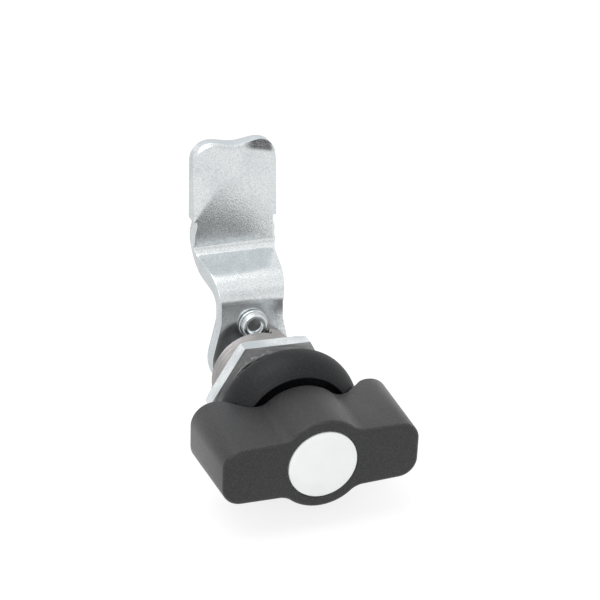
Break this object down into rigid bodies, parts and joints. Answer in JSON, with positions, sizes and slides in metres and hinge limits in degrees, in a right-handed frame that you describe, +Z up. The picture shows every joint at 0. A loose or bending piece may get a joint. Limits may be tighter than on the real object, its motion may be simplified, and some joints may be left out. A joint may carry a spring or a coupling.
{
  "type": "cam latch",
  "caption": "Quarter-turn cam latch: wing knob on a black collar, threaded barrel with thin panel nut, and a cranked steel latch arm with a stop pin.",
  "frame": {"origin": "centre of the collar's back face, the seat that rests on the outside of the panel, on the latch axis", "axes": "+Y along the latch axis into the cabinet, +Z up along the cranked arm in the modelled pose, +X to the right as seen from the knob"},
  "size_m": [0.0466, 0.0667, 0.0677],
  "materials": {
    "black_plastic": "fine texture",
    "light_grey_plastic": "satin",
    "black_powder_coat": "matt black collar, bare metal barrel",
    "zinc_plated_steel": "blue passivated zinc",
    "seal_rubber": "matt"
  },
  "bodies": {
    "housing": {"housing": "black_powder_coat", "mounting_nut": "zinc_plated_steel", "shaft_seal": "seal_rubber"},
    "turning_group": {"spindle": "zinc_plated_steel", "wing_knob": "black_plastic", "cover_cap": "light_grey_plastic", "knob_screw": "zinc_plated_steel", "knob_lock_washer": "zinc_plated_steel", "latch_arm": "zinc_plated_steel", "stop_pin": "zinc_plated_steel", "arm_washer": "zinc_plated_steel", "arm_lock_washer": "zinc_plated_steel", "arm_screw": "zinc_plated_steel"}
  },
  "joints": [
    {"name": "latch_turn", "type": "hinge", "parent": "housing", "child": "turning_group", "pos_m": [0, 0, 0], "axis": [0, -1, 0], "range_deg": [0, 90]}
  ]
}
